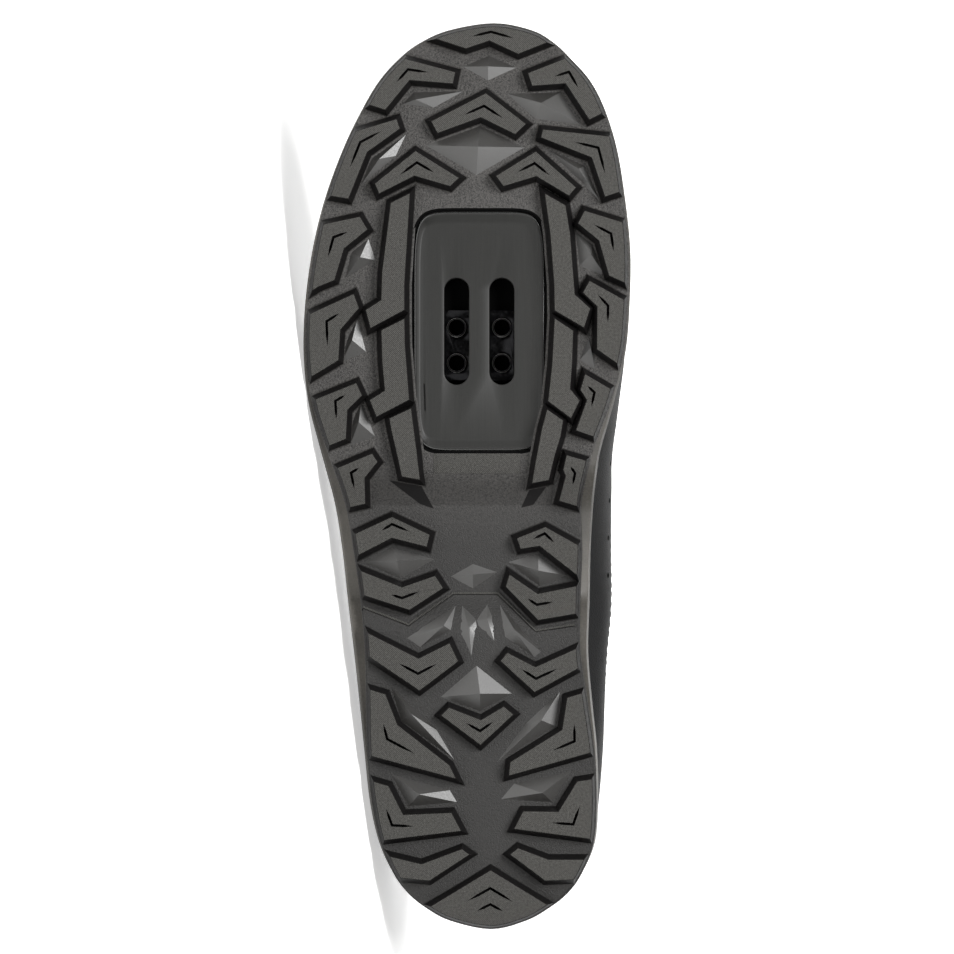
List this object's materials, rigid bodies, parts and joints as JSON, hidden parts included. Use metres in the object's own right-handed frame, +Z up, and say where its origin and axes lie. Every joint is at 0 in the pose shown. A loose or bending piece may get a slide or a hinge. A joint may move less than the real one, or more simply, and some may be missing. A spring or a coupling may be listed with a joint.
{
  "type": "cycling shoe",
  "caption": "Right cycling shoe lying on its side, with a lugged rubber outsole and a recessed cleat mount for two bolts.",
  "frame": {"origin": "on the floor under the middle of the shoe's box, as it lies on its lateral side", "axes": "-X towards the toe, -Y out of the tread, +Z up from the floor, towards the big-toe side"},
  "size_m": [0.2796, 0.1178, 0.1061],
  "materials": {
    "outsole_rubber": "moulded, matt lug faces and smooth walls",
    "midsole_foam": "satin",
    "plate_nylon": "satin",
    "nut_steel": "black coated",
    "insole_fabric": "brushed textile",
    "upper_leather": "smooth synthetic leather",
    "tongue_fabric": "mesh over padding",
    "strap_synthetic": "smooth synthetic leather"
  },
  "bodies": {
    "shoe": {"outsole": "outsole_rubber", "midsole": "midsole_foam", "cleat_plate": "plate_nylon", "insole": "insole_fabric", "upper": "upper_leather", "tongue": "tongue_fabric", "strap_top": "strap_synthetic", "strap_middle": "strap_synthetic", "strap_front": "strap_synthetic"},
    "cleat_nut": {"cleat_nut": "nut_steel"}
  },
  "joints": [
    {"name": "cleat_nut_slide", "type": "slide", "parent": "shoe", "child": "cleat_nut", "axis": [-0.9901, 0, 0.1401], "range_m": [-0.00337, 0.01203]}
  ]
}
